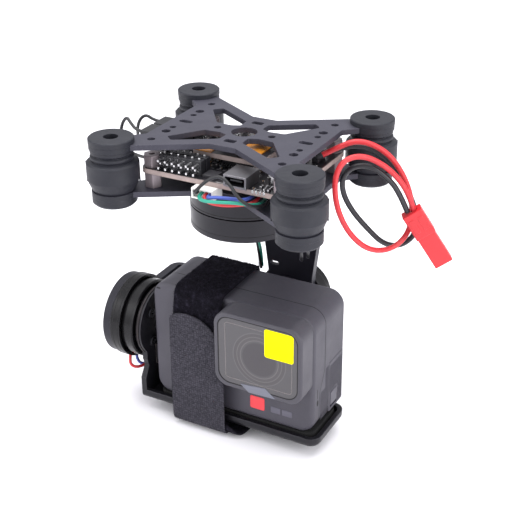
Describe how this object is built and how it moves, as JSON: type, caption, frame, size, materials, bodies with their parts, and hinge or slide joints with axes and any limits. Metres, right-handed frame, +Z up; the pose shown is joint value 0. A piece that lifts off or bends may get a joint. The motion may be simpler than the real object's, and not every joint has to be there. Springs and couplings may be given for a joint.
{
  "type": "camera gimbal",
  "caption": "Three-axis brushless camera gimbal hung on rubber dampers under a pair of deck plates, with an action camera strapped in its tray.",
  "frame": {"origin": "centre of the airframe bolt patterns on the top face of the top plate, on the yaw axis", "axes": "+Z up, the lens looks along -Y, +X is the right hand side seen from the front"},
  "size_m": [0.1152, 0.0794, 0.1099],
  "materials": {
    "deck_plate": "matte anodised grey",
    "damper_rubber": "matte moulded silicone",
    "zinc_steel": "satin",
    "black_steel": "black oxide",
    "circuit_board": "black solder mask",
    "chip_plastic": "moulded epoxy",
    "amber_film": "glossy film",
    "connector_shell": "plated",
    "white_nylon": "moulded",
    "black_nylon": "moulded",
    "red_silicone": "soft satin",
    "black_silicone": "soft satin",
    "red_nylon": "moulded",
    "signal_wire": "coloured insulation",
    "motor_shell": "satin anodised",
    "motor_stator": "lacquered laminations and copper",
    "magnet": "nickel plated",
    "shaft_steel": "ground",
    "arm_metal": "matte anodised",
    "tray_metal": "matte anodised",
    "foam": "closed-cell foam",
    "strap_web": "hook-and-loop",
    "camera_shell": "rubberised",
    "lens_frame": "satin black",
    "lens_glass": "coated",
    "screen_glass": "polished",
    "battery_case": "smooth",
    "button_plastic": "satin"
  },
  "bodies": {
    "top_deck": {"top_plate": "deck_plate", "damper_front_left": "damper_rubber", "damper_front_right": "damper_rubber", "damper_rear_left": "damper_rubber", "damper_rear_right": "damper_rubber"},
    "lower_deck": {"lower_plate": "deck_plate", "board_posts": "zinc_steel", "deck_screws": "black_steel", "controller_board": "circuit_board", "board_chips": "chip_plastic", "pin_headers": "black_nylon", "usb_socket": "connector_shell", "driver_module": "amber_film", "sensor_socket": "white_nylon", "motor_plugs": "black_nylon", "power_lead_red": "red_silicone", "power_lead_black": "black_silicone", "power_plug": "red_nylon", "sensor_wires": "signal_wire", "motor_wires": "black_silicone", "yaw_motor_base": "motor_shell", "yaw_stator": "motor_stator", "yaw_bearings": "shaft_steel"},
    "yaw_frame": {"yaw_bell": "motor_shell", "yaw_magnets": "magnet", "yaw_shaft": "shaft_steel", "yaw_arm": "arm_metal", "yaw_arm_screws": "black_steel", "arm_cable": "black_silicone", "roll_motor_base": "motor_shell", "roll_stator": "motor_stator", "roll_bearings": "shaft_steel"},
    "roll_frame": {"roll_bell": "motor_shell", "roll_magnets": "magnet", "roll_shaft": "shaft_steel", "roll_arm": "arm_metal", "roll_arm_screws": "black_steel", "pitch_motor_base": "motor_shell", "pitch_stator": "motor_stator", "pitch_bearings": "shaft_steel", "pitch_wires": "signal_wire"},
    "camera_cradle": {"pitch_bell": "motor_shell", "pitch_magnets": "magnet", "pitch_shaft": "shaft_steel", "camera_tray": "tray_metal", "tray_screws": "black_steel", "tray_pad": "foam", "motion_sensor": "circuit_board", "camera_strap": "strap_web", "camera_front_shell": "camera_shell", "camera_rear_shell": "camera_shell", "lens_surround": "lens_frame", "lens_window": "lens_glass", "lens_barrel": "lens_frame", "rear_screen": "screen_glass", "battery": "battery_case"},
    "shutter": {"shutter_button": "button_plastic"},
    "mode": {"mode_button": "button_plastic"},
    "door": {"side_door": "camera_shell"},
    "latch": {"door_latch": "button_plastic"}
  },
  "joints": [
    {"name": "isolation", "type": "slide", "parent": "top_deck", "child": "lower_deck", "axis": [0, 0, 1], "range_m": [-0.0015, 0.0015], "stiffness_N_per_m": 6000, "springref_m": 0.00056, "deforming": ["damper_front_left", "damper_front_right", "damper_rear_left", "damper_rear_right"]},
    {"name": "yaw", "type": "hinge", "parent": "lower_deck", "child": "yaw_frame", "pos_m": [0, 0, -0.0308], "axis": [0, 0, 1], "range_deg": [-90, 90]},
    {"name": "roll", "type": "hinge", "parent": "yaw_frame", "child": "roll_frame", "pos_m": [-0.0005, 0.0361, -0.0774], "axis": [0, 1, 0], "range_deg": [-40, 40]},
    {"name": "pitch", "type": "hinge", "parent": "roll_frame", "child": "camera_cradle", "pos_m": [-0.0468, -0.0015, -0.0774], "axis": [1, 0, 0], "range_deg": [-30, 90]},
    {"name": "shutter_press", "type": "slide", "parent": "camera_cradle", "child": "shutter", "axis": [0, 0, -1], "range_m": [0, 0.0008], "stiffness_N_per_m": 900, "springref_m": -0.0005},
    {"name": "mode_press", "type": "slide", "parent": "camera_cradle", "child": "mode", "axis": [1, 0, 0], "range_m": [0, 0.0006], "stiffness_N_per_m": 900, "springref_m": -0.0005},
    {"name": "door_hinge", "type": "hinge", "parent": "camera_cradle", "child": "door", "pos_m": [0.03, 0.0076, -0.07927], "axis": [0, -1, 0], "range_deg": [0, 95]},
    {"name": "latch_slide", "type": "slide", "parent": "door", "child": "latch", "axis": [0, 0, -1], "range_m": [0, 0.001], "stiffness_N_per_m": 300, "springref_m": -0.0005}
  ]
}
